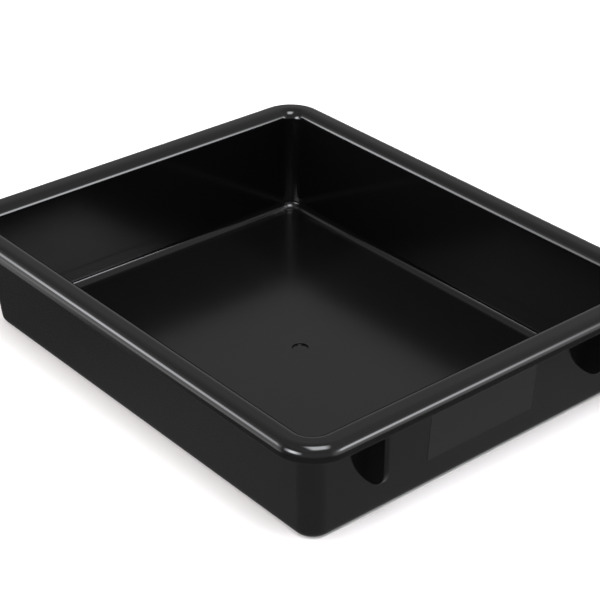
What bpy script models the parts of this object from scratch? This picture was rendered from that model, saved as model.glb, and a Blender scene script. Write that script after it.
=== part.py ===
"""Deep paint roller tray: one injection-moulded shell of black plastic, with a flat floor, drafted
walls, a wide rolled rim, two ribs under the rim of the front wall and a label pad between them.

Frame: metres, +Z up, +Y along the length, front wall at -Y, origin at the centre of the resting plane.
"""

from math import cos, pi, radians, sin, tan

import bmesh
import bpy

# Driving dimensions, in metres.
LENGTH = 0.400
WIDTH = 0.3242
HEIGHT = 0.0836
RIM_WIDTH_SIDE = 0.0172  # from the inner wall's line at the top to the lip, on the long sides
RIM_WIDTH_END = 0.0185  # the same, on the short sides
WALL = 0.0028
FLOOR = 0.0020
DRAFT = radians(4.45)

WALL_CORNER_RADIUS = 0.011  # of the inner walls, in plan
COVE_RADIUS = 0.0065  # between floor and inner wall
RIM_INNER_RADIUS = 0.0079
RIM_OUTER_RADIUS = 0.0073
LIP_HEIGHT = 0.0110
LIP_EDGE_RADIUS = 0.0006
BASE_EDGE_RADIUS = 0.0060

PANEL_MARGIN = 0.0248  # from the foot of the cove to the raised panel of the floor
PANEL_RISE = 0.0001
PANEL_HOLLOW = 0.0005  # under the panel, so that the tray stands on the band round it
PANEL_SLOPE = 0.0015  # width of the sloped step round the panel
PANEL_CORNER_RADIUS = 0.0120

GATE_RADIUS = 0.0060  # shallow round recess where the plastic entered, in the middle of the floor
GATE_DEPTH = 0.0008
GATE_SLOPE = 0.0011

RIB_SPACING = 0.1946
RIB_THICKNESS = 0.0042
RIB_DEPTH = 0.0128
RIB_BOTTOM = 0.0310
RIB_CORNER_RADIUS = 0.0134

PAD_WIDTH = 0.0940
PAD_BOTTOM = 0.0210
PAD_TOP = 0.0765  # within the bend under the rim, which takes the pad's upper edge in
PAD_PROUD_TOP = 0.0001
PAD_PROUD_BOTTOM = 0.0002

CORNER_STEPS = 10
ARC_STEPS = 6
SMALL_ARC_STEPS = 3
OVERLAP = 0.0012  # how far ribs and pad reach into the shell they fuse with

BLACK = (0.010, 0.010, 0.011, 1.0)
ROUGHNESS = 0.18

LEAN = tan(DRAFT)
HALF_WIDTH = WIDTH / 2
HALF_LENGTH = LENGTH / 2
TOP_INNER_X = HALF_WIDTH - RIM_WIDTH_SIDE
TOP_INNER_Y = HALF_LENGTH - RIM_WIDTH_END


def clear_scene():
    for obj in list(bpy.data.objects):
        bpy.data.objects.remove(obj, do_unlink=True)


def arc(centre_x, centre_z, radius, start, end, steps):
    """Points of a section arc, from angle start to angle end in radians."""
    angles = [start + (end - start) * i / steps for i in range(steps + 1)]
    return [(centre_x + radius * cos(a), centre_z + radius * sin(a)) for a in angles]


def inner_line(z):
    """Section offset of the inner wall at height z, from its own line at the rim's top."""
    return LEAN * (z - HEIGHT)


def outer_line(z):
    return inner_line(z) + WALL / cos(DRAFT)


# Centre of the bend from wall to rim, in the section.
BEND_Z = HEIGHT - RIM_INNER_RADIUS
BEND_X = inner_line(BEND_Z) + RIM_INNER_RADIUS / cos(DRAFT)


def section():
    """The shell's section as (offset, z), from the foot of the cove over the rim to the base.

    The offset is measured outwards from the inner wall's line at the top, and is 0 on that line."""
    cove_x = inner_line(FLOOR + COVE_RADIUS) - COVE_RADIUS / cos(DRAFT)
    roll_z = HEIGHT - RIM_OUTER_RADIUS
    roll_x = RIM_WIDTH_END - RIM_OUTER_RADIUS
    edge_z = HEIGHT - LIP_HEIGHT + LIP_EDGE_RADIUS
    edge_x = RIM_WIDTH_END - LIP_EDGE_RADIUS
    hollow_edge_x = RIM_WIDTH_END - WALL + LIP_EDGE_RADIUS
    base_x = outer_line(BASE_EDGE_RADIUS) - BASE_EDGE_RADIUS / cos(DRAFT)

    points = arc(cove_x, FLOOR + COVE_RADIUS, COVE_RADIUS, -pi / 2, -DRAFT, ARC_STEPS)
    points += arc(BEND_X, BEND_Z, RIM_INNER_RADIUS, pi - DRAFT, pi / 2, ARC_STEPS)
    points += arc(roll_x, roll_z, RIM_OUTER_RADIUS, pi / 2, 0, ARC_STEPS)
    points += arc(edge_x, edge_z, LIP_EDGE_RADIUS, 0, -pi / 2, SMALL_ARC_STEPS)
    points += arc(hollow_edge_x, edge_z, LIP_EDGE_RADIUS, -pi / 2, -pi, SMALL_ARC_STEPS)
    points += arc(roll_x, roll_z, RIM_OUTER_RADIUS - WALL, 0, pi / 2, ARC_STEPS)
    points += arc(BEND_X, BEND_Z, RIM_INNER_RADIUS - WALL, pi / 2, pi - DRAFT, ARC_STEPS)
    points += arc(base_x, BASE_EDGE_RADIUS, BASE_EDGE_RADIUS, -DRAFT, -pi / 2, ARC_STEPS)
    return points


def ring_points(half_x, half_y, radius, z):
    """A rounded rectangle in plan, counter-clockwise from the upper end of the +X side."""
    points = []
    for quarter, (side_x, side_y) in enumerate(((1, 1), (-1, 1), (-1, -1), (1, -1))):
        centre_x = side_x * (half_x - radius)
        centre_y = side_y * (half_y - radius)
        for i in range(CORNER_STEPS + 1):
            angle = (quarter + i / CORNER_STEPS) * pi / 2
            points.append((centre_x + radius * cos(angle), centre_y + radius * sin(angle), z))
    return points


def wall_ring(offset, z):
    """The ring at this section offset. The rim is a little narrower along the long sides."""
    share = RIM_WIDTH_SIDE / RIM_WIDTH_END if offset > 0 else 1.0
    half_x = TOP_INNER_X + offset * share
    half_y = TOP_INNER_Y + offset
    radius = WALL_CORNER_RADIUS + max(offset, 0.0) * (1 + share) / 2
    return ring_points(half_x, half_y, radius, z)


def foot_ring(offset, z, line):
    """A ring that follows the wall's plan corner inwards from the section line at its height."""
    radius = WALL_CORNER_RADIUS + (WALL if line is outer_line else 0.0) + offset - line(z)
    return ring_points(TOP_INNER_X + offset, TOP_INNER_Y + offset, radius, z)


def panel_rings(edge_x, edge_y, base_z, rise):
    """The sloped step up to the panel, outer ring first."""
    inner_radius = PANEL_CORNER_RADIUS - PANEL_SLOPE
    return [
        ring_points(edge_x, edge_y, PANEL_CORNER_RADIUS, base_z),
        ring_points(edge_x - PANEL_SLOPE, edge_y - PANEL_SLOPE, inner_radius, base_z + rise),
    ]


def gate_rings(z):
    """The round recess at the gate, outer ring first."""
    outer, inner = GATE_RADIUS, GATE_RADIUS - GATE_SLOPE
    return [ring_points(outer, outer, outer, z), ring_points(inner, inner, inner, z - GATE_DEPTH)]


def shell_rings():
    """All the rings of the shell, from the gate in the floor round the rim to the panel's underside."""
    points = section()
    cove_count = ARC_STEPS + 1
    foot_offset = points[0][0]
    edge_x = TOP_INNER_X + foot_offset - PANEL_MARGIN
    edge_y = TOP_INNER_Y + foot_offset - PANEL_MARGIN

    rings = list(reversed(gate_rings(FLOOR + PANEL_RISE)))
    rings += list(reversed(panel_rings(edge_x, edge_y, FLOOR, PANEL_RISE)))
    rings += [foot_ring(x, z, inner_line) for x, z in points[:cove_count]]
    rings += [wall_ring(x, z) for x, z in points[cove_count:-cove_count]]
    rings += [foot_ring(x, z, outer_line) for x, z in points[-cove_count:]]
    rings += panel_rings(edge_x, edge_y, 0.0, PANEL_HOLLOW)
    return rings


def mesh_object(name, bm):
    mesh = bpy.data.meshes.new(name)
    bmesh.ops.recalc_face_normals(bm, faces=bm.faces)
    bm.to_mesh(mesh)
    bm.free()
    obj = bpy.data.objects.new(name, mesh)
    bpy.context.scene.collection.objects.link(obj)
    return obj


def make_shell():
    bm = bmesh.new()
    loops = [[bm.verts.new(point) for point in ring] for ring in shell_rings()]
    for lower, upper in zip(loops, loops[1:]):
        count = len(lower)
        for i in range(count):
            j = (i + 1) % count
            bm.faces.new((lower[i], lower[j], upper[j], upper[i]))
    bm.faces.new(loops[0])
    bm.faces.new(reversed(loops[-1]))
    return mesh_object("tray", bm)


def prism(name, outline, half_width, centre_x):
    """A closed solid: an outline of (y, z) points, extruded along X about centre_x."""
    bm = bmesh.new()
    near = [bm.verts.new((centre_x - half_width, y, z)) for y, z in outline]
    far = [bm.verts.new((centre_x + half_width, y, z)) for y, z in outline]
    count = len(outline)
    for i in range(count):
        j = (i + 1) % count
        bm.faces.new((near[i], near[j], far[j], far[i]))
    bm.faces.new(near)
    bm.faces.new(reversed(far))
    return mesh_object(name, bm)


def front_wall_y(z, proud=0.0):
    """Y of the front wall's outer face at height z, moved outwards by proud."""
    return -(TOP_INNER_Y + outer_line(z) + proud)


def root_outline(bottom):
    """The hidden edge of a rib or pad: within the wall from bottom up, then within the bend to the rim."""
    radius = RIM_INNER_RADIUS - WALL + OVERLAP
    bend = arc(-(TOP_INNER_Y + BEND_X), BEND_Z, radius, DRAFT, pi / 2, ARC_STEPS)
    return [(front_wall_y(bottom, -OVERLAP), bottom)] + bend


def make_rib(name, centre_x):
    """A plate under the rim, square to the front wall, with its lower outer corner rounded."""
    outline = root_outline(RIB_BOTTOM)
    top = outline[-1][1]
    corner_z = RIB_BOTTOM + RIB_CORNER_RADIUS
    edge_y = front_wall_y(top, RIB_DEPTH)
    corner_y = edge_y + RIB_CORNER_RADIUS
    outline.append((edge_y, top))
    outline += arc(corner_y, corner_z, RIB_CORNER_RADIUS, pi, 3 * pi / 2, ARC_STEPS)
    return prism(name, outline, RIB_THICKNESS / 2, centre_x)


def make_pad():
    """The label pad, a little prouder of the wall at its lower edge."""
    outline = [point for point in root_outline(PAD_BOTTOM) if point[1] < PAD_TOP]
    outline.append((front_wall_y(BEND_Z, PAD_PROUD_TOP), PAD_TOP))
    outline.append((front_wall_y(PAD_BOTTOM, PAD_PROUD_BOTTOM), PAD_BOTTOM))
    return prism("label_pad_form", outline, PAD_WIDTH / 2, 0.0)


def fuse(body, piece):
    """Joins a piece to the body for good, and keeps the piece only as a wire guide."""
    modifier = body.modifiers.new("fuse_" + piece.name, "BOOLEAN")
    modifier.operation = "UNION"
    modifier.solver = "EXACT"
    modifier.object = piece
    piece.hide_render = True
    piece.display_type = "WIRE"


def black_plastic():
    material = bpy.data.materials.new("black_plastic")
    material.use_nodes = True
    shader = material.node_tree.nodes["Principled BSDF"]
    shader.inputs["Base Color"].default_value = BLACK
    shader.inputs["Roughness"].default_value = ROUGHNESS
    shader.inputs["Metallic"].default_value = 0.0
    return material


def main():
    clear_scene()
    tray = make_shell()
    tray.data.materials.append(black_plastic())
    fuse(tray, make_rib("left_rib_form", -RIB_SPACING / 2))
    fuse(tray, make_rib("right_rib_form", RIB_SPACING / 2))
    fuse(tray, make_pad())
    tray.data.shade_smooth()
    tray.data.set_sharp_from_angle(angle=radians(35))


main()
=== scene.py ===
"""Looks of the deep paint roller tray: a fine one-piece shell of moulded black plastic, on a white table
among soft boxes. All sizes are in metres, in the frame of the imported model."""

from math import cos, pi, radians, sin, tan

import bmesh
import bpy
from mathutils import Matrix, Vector


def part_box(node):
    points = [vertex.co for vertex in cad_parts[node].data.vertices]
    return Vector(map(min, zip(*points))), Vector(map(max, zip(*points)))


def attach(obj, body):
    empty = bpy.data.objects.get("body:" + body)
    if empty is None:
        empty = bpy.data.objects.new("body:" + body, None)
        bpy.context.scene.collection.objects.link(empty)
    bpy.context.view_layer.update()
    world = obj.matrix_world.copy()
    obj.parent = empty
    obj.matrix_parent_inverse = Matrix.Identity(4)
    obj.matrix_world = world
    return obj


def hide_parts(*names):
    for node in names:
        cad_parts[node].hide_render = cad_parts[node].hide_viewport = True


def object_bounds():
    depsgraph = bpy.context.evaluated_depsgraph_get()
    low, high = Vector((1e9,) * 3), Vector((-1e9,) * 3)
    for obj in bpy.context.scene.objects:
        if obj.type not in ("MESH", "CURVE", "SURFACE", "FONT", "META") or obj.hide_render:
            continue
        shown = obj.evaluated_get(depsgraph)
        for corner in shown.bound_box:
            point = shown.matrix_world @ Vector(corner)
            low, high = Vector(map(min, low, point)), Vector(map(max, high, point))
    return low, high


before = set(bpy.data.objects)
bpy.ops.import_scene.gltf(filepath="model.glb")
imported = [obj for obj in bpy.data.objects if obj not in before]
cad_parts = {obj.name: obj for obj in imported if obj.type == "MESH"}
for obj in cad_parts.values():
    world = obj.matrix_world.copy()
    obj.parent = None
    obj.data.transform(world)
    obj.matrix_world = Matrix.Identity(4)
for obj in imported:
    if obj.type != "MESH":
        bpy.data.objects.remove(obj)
cad_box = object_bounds()
low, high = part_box("tray")

# The tray's own sizes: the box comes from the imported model, the rest repeats its design.
HALF_WIDTH = (high.x - low.x) / 2
HALF_LENGTH = (high.y - low.y) / 2
HEIGHT = high.z - low.z
RIM_WIDTH_SIDE = 0.0172
RIM_WIDTH_END = 0.0185
WALL = 0.0028
FLOOR = 0.0020
DRAFT = radians(4.45)
LEAN = tan(DRAFT)
TOP_INNER_X = HALF_WIDTH - RIM_WIDTH_SIDE
TOP_INNER_Y = HALF_LENGTH - RIM_WIDTH_END

WALL_CORNER_RADIUS = 0.011
COVE_RADIUS = 0.0065
RIM_INNER_RADIUS = 0.0079
RIM_OUTER_RADIUS = 0.0073
LIP_HEIGHT = 0.0110
LIP_EDGE_RADIUS = 0.0006
BASE_EDGE_RADIUS = 0.0060

PANEL_MARGIN = 0.0248
PANEL_RISE = 0.0001
PANEL_HOLLOW = 0.0005
PANEL_SLOPE = 0.0015
PANEL_CORNER_RADIUS = 0.0120

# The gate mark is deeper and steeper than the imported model's, so that it shows.
GATE_RADIUS = 0.0060
GATE_DEPTH = 0.0012
GATE_SLOPE = 0.0005
GATE_CROWN = 0.0003
GATE_CROWN_RINGS = (0.7, 0.4, 0.15)

RIB_SPACING = 0.1946
RIB_THICKNESS = 0.0042
RIB_DEPTH = 0.0128
RIB_BOTTOM = 0.0310
RIB_CORNER_RADIUS = 0.0134
RIB_EDGE = 0.0005

PAD_WIDTH = 0.0940
PAD_BOTTOM = 0.0210
PAD_TOP = 0.0765
PAD_PROUD_TOP = 0.0001
PAD_PROUD_BOTTOM = 0.0002
PAD_EDGE = 0.00005

# The steps of the shell's curves, and how far the ribs and the pad reach into the wall.
CORNER_STEPS = 28
ARC_STEPS = 16
SMALL_ARC_STEPS = 6
EDGE_STEPS = 4
OVERLAP = 0.0012
SAME_PLACE = 1e-6
SHARP_EDGE = radians(35)


# ---------------------------------------------------------------- camera, table and lights

# The camera's place round its aim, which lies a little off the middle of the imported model's box.
AZIMUTH = radians(-39.97)
ELEVATION = radians(29.98)
DISTANCE = 1.2942
AIM_OFFSET = Vector((-0.0017, -0.0018, 0.0006))
LENS = 111.15
SENSOR_WIDTH = 36.0
CLIP_START = 0.01
CLIP_END = 50.0

TABLE_SIZE = 8.0
TABLE_WHITE = (0.94, 0.92, 0.915, 1.0)
TABLE_ROUGHNESS = 0.9

# The studio's grey, as (elevation in degrees, value) stops. It fades to the share WORLD_LEFT on the side
# away from the right axis.
WORLD_STRENGTH = 2.0
WORLD_LEFT = 0.60
WORLD_BASE = (
    (-90, 0.15), (-60, 0.15), (-50, 0.14), (-42, 0.14), (-38, 0.14), (-35, 0.09), (-27, 0.07),
    (-22, 0.12), (-5, 0.26), (12, 0.26), (30, 0.22), (48, 0.28), (90, 0.22),
)
# Each glow behind a soft box: the azimuth of its axis in degrees, the cosines of the level angle from
# the axis at its edge and where it is full, and its value as (elevation in degrees, value) stops.
RIGHT_AXIS = 28
RIGHT_GLOW = (
    (-28, 0.0), (-24, 0.08), (-20, 0.3), (-14, 0.45), (-8, 0.56), (0, 0.62), (10, 0.5), (24, 0.2),
    (40, 0.0),
)
LEFT_AXIS = -137
LEFT_GLOW = (
    (-33, 0.0), (-31, 0.04), (-29, 0.35), (-26, 0.66), (-18, 0.6), (-8, 0.5), (10, 0.45), (24, 0.2),
    (40, 0.0),
)
GLOWS = ((RIGHT_AXIS, 0.86, 0.985, RIGHT_GLOW), (LEFT_AXIS, 0.90, 0.995, LEFT_GLOW))

# How a light fades from one side to the other, as (place, share) stops.
SOFT_ENDS = ((0.0, 0.1), (0.25, 1.0), (0.75, 1.0), (1.0, 0.1))
RIGHT_FADE = (
    (0.05, 0.0), (0.2, 0.3), (0.36, 0.9), (0.52, 1.0), (0.64, 0.77), (0.72, 0.5), (0.8, 0.19),
    (0.9, 0.03), (1.0, 0.0),
)
LEFT_FADE = (
    (0.0, 0.1), (0.23, 0.25), (0.4, 0.4), (0.5, 1.0), (0.58, 0.94), (0.67, 0.66), (0.85, 0.18),
    (1.0, 0.0),
)
SECOND_FADE = ((0.0, 0.0), (0.25, 0.5), (0.42, 1.0), (0.58, 1.0), (0.78, 0.5), (1.0, 0.0))

# Each light: name, azimuth and elevation in degrees, distance, width, height, radiance in W/m2/sr, and
# its fade over its width. The plastic mirrors the boxes. The fills stay out of its reflections and
# brighten the table.
BOX_COLOUR = (0.95, 0.965, 1.0)
BOXES = (
    ("right_box", 29, 11, 6.0, 4.6, 2.1, 9.2, RIGHT_FADE),
    ("left_box", -137, 8.5, 6.0, 5.1, 2.05, 6.7, LEFT_FADE),
    ("second_left_box", -86, 11, 6.0, 4.7, 2.6, 15.5, SECOND_FADE),
    ("over_box", -23, 66, 1.5, 0.90, 1.0, 9.8, SOFT_ENDS),
)
FILL_COLOUR = (1.0, 0.955, 0.94)
FILLS = (
    ("top_fill", 0, 90, 1.6, 3.0, 3.0, 1.45, SOFT_ENDS),
    ("left_fill", -135, 20, 2.5, 2.0, 1.2, 7.0, SOFT_ENDS),
)


def direction(azimuth, elevation):
    """The unit vector from the object towards a place at this azimuth and elevation, in radians."""
    flat = cos(elevation)
    return Vector((sin(azimuth) * flat, -cos(azimuth) * flat, sin(elevation)))


def add_camera(target):
    data = bpy.data.cameras.new("camera")
    data.lens = LENS
    data.sensor_width = SENSOR_WIDTH
    data.clip_start = CLIP_START
    data.clip_end = CLIP_END
    camera = bpy.data.objects.new("camera", data)
    bpy.context.scene.collection.objects.link(camera)
    back = direction(AZIMUTH, ELEVATION)
    camera.location = target + AIM_OFFSET + back * DISTANCE
    camera.rotation_euler = (-back).to_track_quat("-Z", "Y").to_euler()
    bpy.context.scene.camera = camera


def principled(name):
    material = bpy.data.materials.new(name)
    material.use_nodes = True
    return material, material.node_tree, material.node_tree.nodes["Principled BSDF"]


def add_table():
    """A large pale floor, which is also the whole background from this angle. It stays out of
    reflections: the plastic mirrors the darker studio round the table instead."""
    bm = bmesh.new()
    bmesh.ops.create_grid(bm, x_segments=1, y_segments=1, size=TABLE_SIZE / 2)
    table = mesh_object("table", bm)
    material, _, shader = principled("table_white")
    shader.inputs["Base Color"].default_value = TABLE_WHITE
    shader.inputs["Roughness"].default_value = TABLE_ROUGHNESS
    shader.inputs["Specular IOR Level"].default_value = 0.0
    table.data.materials.append(material)
    table.visible_glossy = False


def add_light(name, azimuth, elevation, distance, width, height, radiance, fade):
    """A light facing the object. It fades over its width as the stops say, and softly over its height."""
    data = bpy.data.lights.new(name, "AREA")
    data.shape = "RECTANGLE"
    data.size = width
    data.size_y = height
    data.energy = radiance * pi * width * height
    data.use_nodes = True
    nodes, links = data.node_tree.nodes, data.node_tree.links
    place = nodes.new("ShaderNodeNewGeometry")
    split = nodes.new("ShaderNodeSeparateXYZ")
    links.new(place.outputs["Parametric"], split.inputs["Vector"])
    wide = grey_ramp(nodes, links, split.outputs["X"], fade)
    tall = grey_ramp(nodes, links, split.outputs["Y"], SOFT_ENDS)
    share = nodes.new("ShaderNodeMath")
    share.operation = "MULTIPLY"
    links.new(wide, share.inputs[0])
    links.new(tall, share.inputs[1])
    links.new(share.outputs["Value"], nodes["Emission"].inputs["Strength"])
    light = bpy.data.objects.new(name, data)
    bpy.context.scene.collection.objects.link(light)
    towards = direction(radians(azimuth), radians(elevation))
    light.location = towards * distance
    light.rotation_euler = (-towards).to_track_quat("-Z", "Y").to_euler()
    return light


def add_lights():
    for box in BOXES:
        add_light(*box).data.color = BOX_COLOUR
    for fill in FILLS:
        light = add_light(*fill)
        light.data.color = FILL_COLOUR
        light.visible_glossy = False


def add_world():
    """A soft grey studio, darker on the left, with a glow behind the right and the left soft box."""
    world = bpy.data.worlds.new("studio")
    world.use_nodes = True
    nodes, links = world.node_tree.nodes, world.node_tree.links
    coordinates = nodes.new("ShaderNodeTexCoord")
    split = nodes.new("ShaderNodeSeparateXYZ")
    links.new(coordinates.outputs["Generated"], split.inputs["Vector"])
    rise = nodes.new("ShaderNodeMapRange")
    rise.inputs["From Min"].default_value = -1.0
    rise.inputs["From Max"].default_value = 1.0
    links.new(split.outputs["Z"], rise.inputs["Value"])
    lit = nodes.new("ShaderNodeMath")
    lit.operation = "MULTIPLY"
    outwards = coordinates.outputs["Generated"]
    links.new(grey_ramp(nodes, links, rise.outputs["Result"], by_elevation(WORLD_BASE)), lit.inputs[0])
    from_right = towards_axis(nodes, links, outwards, RIGHT_AXIS, -1.0, 0.0, "LINEAR")
    from_right.inputs["To Min"].default_value = WORLD_LEFT
    links.new(from_right.outputs["Result"], lit.inputs[1])
    level = nodes.new("ShaderNodeVectorMath")
    level.operation = "MULTIPLY"
    level.inputs[1].default_value = (1.0, 1.0, 0.0)
    links.new(outwards, level.inputs[0])
    heading = nodes.new("ShaderNodeVectorMath")
    heading.operation = "NORMALIZE"
    links.new(level.outputs["Vector"], heading.inputs[0])
    for azimuth, edge, full, stops in GLOWS:
        glow = grey_ramp(nodes, links, rise.outputs["Result"], by_elevation(stops))
        side = towards_axis(nodes, links, heading.outputs["Vector"], azimuth, edge, full, "SMOOTHSTEP")
        total = nodes.new("ShaderNodeMath")
        total.operation = "MULTIPLY_ADD"
        links.new(glow, total.inputs[0])
        links.new(side.outputs["Result"], total.inputs[1])
        links.new(lit.outputs["Value"], total.inputs[2])
        lit = total
    scale = nodes.new("ShaderNodeMath")
    scale.operation = "MULTIPLY"
    scale.inputs[1].default_value = WORLD_STRENGTH
    links.new(lit.outputs["Value"], scale.inputs[0])
    background = nodes["Background"]
    background.inputs["Color"].default_value = (1.0, 1.0, 1.0, 1.0)
    links.new(scale.outputs["Value"], background.inputs["Strength"])
    bpy.context.scene.world = world


def towards_axis(nodes, links, vector, azimuth, low_edge, high_edge, steps):
    """A Map Range node from 0 to 1 over the vector's part along the horizontal axis at this azimuth."""
    axis = nodes.new("ShaderNodeVectorMath")
    axis.operation = "DOT_PRODUCT"
    axis.inputs[1].default_value = direction(radians(azimuth), 0.0)
    links.new(vector, axis.inputs[0])
    share = nodes.new("ShaderNodeMapRange")
    share.interpolation_type = steps
    share.inputs["From Min"].default_value = low_edge
    share.inputs["From Max"].default_value = high_edge
    links.new(axis.outputs["Value"], share.inputs["Value"])
    return share


def by_elevation(stops):
    """Stops over the sine of the elevation, from (elevation in degrees, value) stops."""
    return [((sin(radians(elevation)) + 1) / 2, value) for elevation, value in stops]


def grey_ramp(nodes, links, socket, stops):
    """The colour output of a ramp of grey over this socket, from (place, value) stops."""
    ramp = nodes.new("ShaderNodeValToRGB")
    links.new(socket, ramp.inputs["Fac"])
    elements = ramp.color_ramp.elements
    while len(elements) < len(stops):
        elements.new(0.5)
    for element, (place, value) in zip(elements, stops):
        element.position = place
        element.color = (value, value, value, 1.0)
    return ramp.outputs["Color"]


# ---------------------------------------------------------------- the tray's shell


def mesh_object(name, bm):
    mesh = bpy.data.meshes.new(name)
    bmesh.ops.recalc_face_normals(bm, faces=bm.faces)
    bm.to_mesh(mesh)
    bm.free()
    obj = bpy.data.objects.new(name, mesh)
    bpy.context.scene.collection.objects.link(obj)
    return obj


def arc(centre_x, centre_z, radius, start, end, steps):
    """Points of a section arc, from angle start to angle end in radians."""
    angles = [start + (end - start) * i / steps for i in range(steps + 1)]
    return [(centre_x + radius * cos(a), centre_z + radius * sin(a)) for a in angles]


def inner_line(z):
    """Section offset of the inner wall at height z, from its own line at the rim's top."""
    return LEAN * (z - HEIGHT)


def outer_line(z):
    return inner_line(z) + WALL / cos(DRAFT)


# Centre of the bend from wall to rim, in the section.
BEND_Z = HEIGHT - RIM_INNER_RADIUS
BEND_X = inner_line(BEND_Z) + RIM_INNER_RADIUS / cos(DRAFT)


def section():
    """The shell's section as (offset, z), from the foot of the cove over the rim to the base."""
    cove_x = inner_line(FLOOR + COVE_RADIUS) - COVE_RADIUS / cos(DRAFT)
    roll_z = HEIGHT - RIM_OUTER_RADIUS
    roll_x = RIM_WIDTH_END - RIM_OUTER_RADIUS
    edge_z = HEIGHT - LIP_HEIGHT + LIP_EDGE_RADIUS
    edge_x = RIM_WIDTH_END - LIP_EDGE_RADIUS
    hollow_edge_x = RIM_WIDTH_END - WALL + LIP_EDGE_RADIUS
    base_x = outer_line(BASE_EDGE_RADIUS) - BASE_EDGE_RADIUS / cos(DRAFT)

    points = arc(cove_x, FLOOR + COVE_RADIUS, COVE_RADIUS, -pi / 2, -DRAFT, ARC_STEPS)
    points += arc(BEND_X, BEND_Z, RIM_INNER_RADIUS, pi - DRAFT, pi / 2, ARC_STEPS)
    points += arc(roll_x, roll_z, RIM_OUTER_RADIUS, pi / 2, 0, ARC_STEPS)
    points += arc(edge_x, edge_z, LIP_EDGE_RADIUS, 0, -pi / 2, SMALL_ARC_STEPS)
    points += arc(hollow_edge_x, edge_z, LIP_EDGE_RADIUS, -pi / 2, -pi, SMALL_ARC_STEPS)
    points += arc(roll_x, roll_z, RIM_OUTER_RADIUS - WALL, 0, pi / 2, ARC_STEPS)
    points += arc(BEND_X, BEND_Z, RIM_INNER_RADIUS - WALL, pi / 2, pi - DRAFT, ARC_STEPS)
    points += arc(base_x, BASE_EDGE_RADIUS, BASE_EDGE_RADIUS, -DRAFT, -pi / 2, ARC_STEPS)
    return points


def ring_points(half_x, half_y, radius, z):
    """A rounded rectangle in plan, counter-clockwise from the +Y end of the +X side."""
    points = []
    for quarter, (side_x, side_y) in enumerate(((1, 1), (-1, 1), (-1, -1), (1, -1))):
        centre_x = side_x * (half_x - radius)
        centre_y = side_y * (half_y - radius)
        for i in range(CORNER_STEPS + 1):
            angle = (quarter + i / CORNER_STEPS) * pi / 2
            points.append((centre_x + radius * cos(angle), centre_y + radius * sin(angle), z))
    return points


def wall_ring(offset, z):
    """The ring at this section offset. The rim is a little narrower along the long sides."""
    share = RIM_WIDTH_SIDE / RIM_WIDTH_END if offset > 0 else 1.0
    half_x = TOP_INNER_X + offset * share
    half_y = TOP_INNER_Y + offset
    radius = WALL_CORNER_RADIUS + max(offset, 0.0) * (1 + share) / 2
    return ring_points(half_x, half_y, radius, z)


def foot_ring(offset, z, line):
    """A ring that follows the wall's plan corner inwards from the section line at its height."""
    radius = WALL_CORNER_RADIUS + (WALL if line is outer_line else 0.0) + offset - line(z)
    return ring_points(TOP_INNER_X + offset, TOP_INNER_Y + offset, radius, z)


def panel_rings(edge_x, edge_y, base_z, rise):
    """The soft step up to the panel, outer ring first."""
    rings = []
    for i in range(SMALL_ARC_STEPS + 1):
        share = i / SMALL_ARC_STEPS
        inwards = PANEL_SLOPE * share
        lift = rise * (1 - cos(pi * share)) / 2
        radius = PANEL_CORNER_RADIUS - inwards
        rings.append(ring_points(edge_x - inwards, edge_y - inwards, radius, base_z + lift))
    return rings


def gate_rings(z):
    """The round recess at the gate, outer ring first, with soft edges and a slightly crowned middle."""
    rings = []
    for i in range(ARC_STEPS + 1):
        share = i / ARC_STEPS
        radius = GATE_RADIUS - GATE_SLOPE * share
        drop = GATE_DEPTH * (1 - cos(pi * share)) / 2
        rings.append(ring_points(radius, radius, radius, z - drop))
    bottom = GATE_RADIUS - GATE_SLOPE
    for share in GATE_CROWN_RINGS:
        radius = bottom * share
        rise = GATE_CROWN * (1 - share * share)
        rings.append(ring_points(radius, radius, radius, z - GATE_DEPTH + rise))
    return rings


def shell_rings():
    """All the rings of the shell, from the gate in the floor round the rim to the panel's underside."""
    points = section()
    cove_count = ARC_STEPS + 1
    foot_offset = points[0][0]
    edge_x = TOP_INNER_X + foot_offset - PANEL_MARGIN
    edge_y = TOP_INNER_Y + foot_offset - PANEL_MARGIN

    rings = list(reversed(gate_rings(FLOOR + PANEL_RISE)))
    rings += list(reversed(panel_rings(edge_x, edge_y, FLOOR, PANEL_RISE)))
    rings += [foot_ring(x, z, inner_line) for x, z in points[:cove_count]]
    rings += [wall_ring(x, z) for x, z in points[cove_count:-cove_count]]
    rings += [foot_ring(x, z, outer_line) for x, z in points[-cove_count:]]
    rings += panel_rings(edge_x, edge_y, 0.0, PANEL_HOLLOW)
    return rings


def make_shell():
    bm = bmesh.new()
    loops = [[bm.verts.new(point) for point in ring] for ring in shell_rings()]
    for lower, upper in zip(loops, loops[1:]):
        count = len(lower)
        for i in range(count):
            j = (i + 1) % count
            bm.faces.new((lower[i], lower[j], upper[j], upper[i]))
    bm.faces.new(loops[0])
    bm.faces.new(reversed(loops[-1]))
    bmesh.ops.remove_doubles(bm, verts=bm.verts, dist=SAME_PLACE)
    return mesh_object("tray_shell", bm)


def inset(outline, amount):
    """A counter-clockwise outline of (y, z) points, moved inwards by amount."""
    moved = []
    for before, point, after in zip(outline[-1:] + outline[:-1], outline, outline[1:] + outline[:1]):
        first = (Vector(point) - Vector(before)).normalized().orthogonal()
        second = (Vector(after) - Vector(point)).normalized().orthogonal()
        moved.append(Vector(point) + (first + second) * amount / (1 + first.dot(second)))
    return moved


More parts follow.
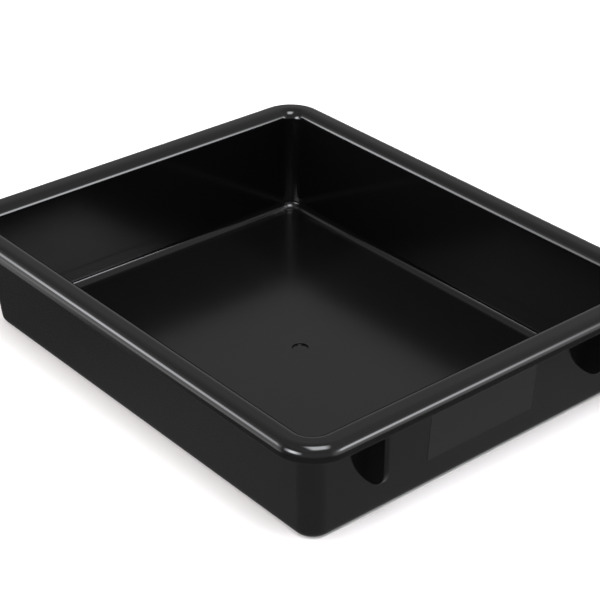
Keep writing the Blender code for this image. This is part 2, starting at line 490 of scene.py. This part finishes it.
def prism(name, outline, half_width, centre_x, edge):
    """A closed solid with rounded edges: an outline of (y, z) points, extruded along X about centre_x."""
    turns = [i * pi / 2 / EDGE_STEPS for i in range(EDGE_STEPS + 1)]
    half = [(half_width - edge + edge * sin(a), inset(outline, edge * (1 - cos(a)))) for a in turns]
    rings = [(-x, ring) for x, ring in reversed(half)] + half
    bm = bmesh.new()
    loops = [[bm.verts.new((centre_x + x, y, z)) for y, z in ring] for x, ring in rings]
    for near, far in zip(loops, loops[1:]):
        for i in range(len(outline)):
            j = (i + 1) % len(outline)
            bm.faces.new((near[i], near[j], far[j], far[i]))
    bm.faces.new(loops[0])
    bm.faces.new(reversed(loops[-1]))
    return mesh_object(name, bm)


def front_wall_y(z, proud=0.0):
    """Y of the front wall's outer face at height z, moved outwards by proud."""
    return -(TOP_INNER_Y + outer_line(z) + proud)


def root_outline(bottom):
    """The hidden edge of a rib or pad: within the wall from bottom up, then within the bend to the rim."""
    radius = RIM_INNER_RADIUS - WALL + OVERLAP
    bend = arc(-(TOP_INNER_Y + BEND_X), BEND_Z, radius, DRAFT, pi / 2, SMALL_ARC_STEPS)
    return [(front_wall_y(bottom, -OVERLAP), bottom)] + bend


def make_rib(name, centre_x):
    """A plate under the rim, square to the front wall, with its lower outer corner rounded."""
    outline = root_outline(RIB_BOTTOM)
    top = outline[-1][1]
    corner_z = RIB_BOTTOM + RIB_CORNER_RADIUS
    edge_y = front_wall_y(top, RIB_DEPTH)
    corner_y = edge_y + RIB_CORNER_RADIUS
    outline.append((edge_y, top))
    outline += arc(corner_y, corner_z, RIB_CORNER_RADIUS, pi, 3 * pi / 2, ARC_STEPS)
    return prism(name, outline, RIB_THICKNESS / 2, centre_x, RIB_EDGE)


def make_pad():
    """The label pad, a little prouder of the wall at its lower edge."""
    outline = [point for point in root_outline(PAD_BOTTOM) if point[1] < PAD_TOP]
    outline.append((front_wall_y(BEND_Z, PAD_PROUD_TOP), PAD_TOP))
    outline.append((front_wall_y(PAD_BOTTOM, PAD_PROUD_BOTTOM), PAD_BOTTOM))
    return prism("label_pad_form", outline, PAD_WIDTH / 2, 0.0, PAD_EDGE)


def fuse(body, pieces):
    """Joins the pieces to the body for good, as one moulding."""
    for piece in pieces:
        modifier = body.modifiers.new("fuse", "BOOLEAN")
        modifier.operation = "UNION"
        modifier.solver = "EXACT"
        modifier.object = piece
    depsgraph = bpy.context.evaluated_depsgraph_get()
    joined = bpy.data.meshes.new_from_object(body.evaluated_get(depsgraph))
    body.modifiers.clear()
    body.data = joined
    for piece in pieces:
        bpy.data.objects.remove(piece, do_unlink=True)


def smooth(obj):
    """Smooth shading with flat faces kept flat: each point's normal follows its largest faces."""
    obj.data.shade_smooth()
    obj.data.set_sharp_from_angle(angle=SHARP_EDGE)
    modifier = obj.modifiers.new("flat_faces", "WEIGHTED_NORMAL")
    modifier.keep_sharp = True
    modifier.weight = 100


# ---------------------------------------------------------------- material

PLASTIC = (0.0018, 0.0018, 0.0019, 1.0)
LABEL_PLASTIC = (0.0080, 0.0080, 0.0080, 1.0)
ROUGHNESS = 0.10
FLOOR_ROUGHNESS = 0.20
LABEL_ROUGHNESS = 0.30
IOR = 1.5
HANDLING = 0.03
HANDLING_SCALE = 28.0
GRAIN_SCALE = 650.0
GRAIN_STRENGTH = 0.05
GRAIN_DEPTH = 0.0001
HANDLING_DETAIL = 5.0
GRAIN_DETAIL = 3.0

# The soft edges of the satin places, and how far out from the inner face the label's place reaches.
FLOOR_EDGE = 0.001
SATIN_BOTTOM = FLOOR + 0.001
SATIN_TOP = FLOOR + 0.004
LABEL_EDGE = 0.0006
LABEL_REACH = 0.006
REACH_EDGE = 0.0005


def smooth_mask(tree, value, low_edge, high_edge):
    """1 below low_edge and 0 above high_edge, with a smooth step between them."""
    step = tree.nodes.new("ShaderNodeMapRange")
    step.interpolation_type = "SMOOTHSTEP"
    step.inputs["From Min"].default_value = low_edge
    step.inputs["From Max"].default_value = high_edge
    step.inputs["To Min"].default_value = 1.0
    step.inputs["To Max"].default_value = 0.0
    tree.links.new(value, step.inputs["Value"])
    return step.outputs["Result"]


def maths_node(tree, operation, first, second):
    """The output of a Math node; first and second are sockets or numbers."""
    node = tree.nodes.new("ShaderNodeMath")
    node.operation = operation
    for socket, value in zip(node.inputs, (first, second)):
        if isinstance(value, (int, float)):
            socket.default_value = value
        else:
            tree.links.new(value, socket)
    return node.outputs["Value"]


def between(tree, value, low_edge, high_edge, soft):
    """1 between the two edges and 0 outside them, with soft steps."""
    above = maths_node(tree, "SUBTRACT", 1.0, smooth_mask(tree, value, low_edge, low_edge + soft))
    return maths_node(tree, "MULTIPLY", above, smooth_mask(tree, value, high_edge - soft, high_edge))


def mixed(tree, share, start, end):
    """start where share is 0 and end where it is 1; start and end are sockets or numbers."""
    step = maths_node(tree, "SUBTRACT", end, start)
    rise = maths_node(tree, "MULTIPLY", share, step)
    return maths_node(tree, "ADD", rise, start)


def noise(tree, vector, scale, detail):
    """A noise of about 0 to 1, with this many lumps to the metre."""
    node = tree.nodes.new("ShaderNodeTexNoise")
    node.inputs["Scale"].default_value = scale
    node.inputs["Detail"].default_value = detail
    tree.links.new(vector, node.inputs["Vector"])
    return node.outputs["Fac"]


def black_plastic():
    """Glossy black with a fine grain, a satin floor and a slightly paler satin area for the label."""
    material, tree, shader = principled("black_plastic")
    shader.inputs["IOR"].default_value = IOR
    place = tree.nodes.new("ShaderNodeTexCoord")
    split = tree.nodes.new("ShaderNodeSeparateXYZ")
    tree.links.new(place.outputs["Object"], split.inputs["Vector"])
    x, y, z = split.outputs["X"], split.outputs["Y"], split.outputs["Z"]

    half_x = TOP_INNER_X - LEAN * HEIGHT
    half_y = TOP_INNER_Y - LEAN * HEIGHT
    inside = maths_node(tree, "MULTIPLY", between(tree, x, -half_x, half_x, FLOOR_EDGE),
                        between(tree, y, -half_y, half_y, FLOOR_EDGE))
    floor = maths_node(tree, "MULTIPLY", inside, smooth_mask(tree, z, SATIN_BOTTOM, SATIN_TOP))
    half_pad = PAD_WIDTH / 2
    label_place = maths_node(tree, "MULTIPLY", between(tree, x, -half_pad, half_pad, LABEL_EDGE),
                             between(tree, z, PAD_BOTTOM, PAD_TOP, LABEL_EDGE))
    # The front wall leans, so y + LEAN * z tells its outer face from its inner one at any height.
    across_wall = maths_node(tree, "ADD", y, maths_node(tree, "MULTIPLY", z, LEAN))
    inner_face = LEAN * HEIGHT - TOP_INNER_Y
    outermost = inner_face - LABEL_REACH
    on_outside = between(tree, across_wall, outermost, inner_face - WALL / 2, REACH_EDGE)
    label = maths_node(tree, "MULTIPLY", label_place, on_outside)

    rough = mixed(tree, label, mixed(tree, floor, ROUGHNESS, FLOOR_ROUGHNESS), LABEL_ROUGHNESS)
    lumps = noise(tree, place.outputs["Object"], HANDLING_SCALE, HANDLING_DETAIL)
    handled = mixed(tree, lumps, -HANDLING, HANDLING)
    tree.links.new(maths_node(tree, "ADD", rough, handled), shader.inputs["Roughness"])
    grain = tree.nodes.new("ShaderNodeBump")
    grain.inputs["Strength"].default_value = GRAIN_STRENGTH
    grain.inputs["Distance"].default_value = GRAIN_DEPTH
    pits = noise(tree, place.outputs["Object"], GRAIN_SCALE, GRAIN_DETAIL)
    tree.links.new(pits, grain.inputs["Height"])
    tree.links.new(grain.outputs["Normal"], shader.inputs["Normal"])
    colour = tree.nodes.new("ShaderNodeMix")
    colour.data_type = "RGBA"
    colour.inputs["A"].default_value = PLASTIC
    colour.inputs["B"].default_value = LABEL_PLASTIC
    tree.links.new(label, colour.inputs["Factor"])
    tree.links.new(colour.outputs["Result"], shader.inputs["Base Color"])
    return material


def build():
    centre = (cad_box[0] + cad_box[1]) / 2
    add_camera(centre)
    add_table()
    add_world()
    add_lights()
    tray = make_shell()
    half = RIB_SPACING / 2
    fuse(tray, [make_rib("left_rib", -half), make_rib("right_rib", half), make_pad()])
    smooth(tray)
    tray.data.materials.clear()
    tray.data.materials.append(black_plastic())
    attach(tray, "root")
    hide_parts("tray")
    bpy.context.scene.view_settings.view_transform = "Standard"


build()
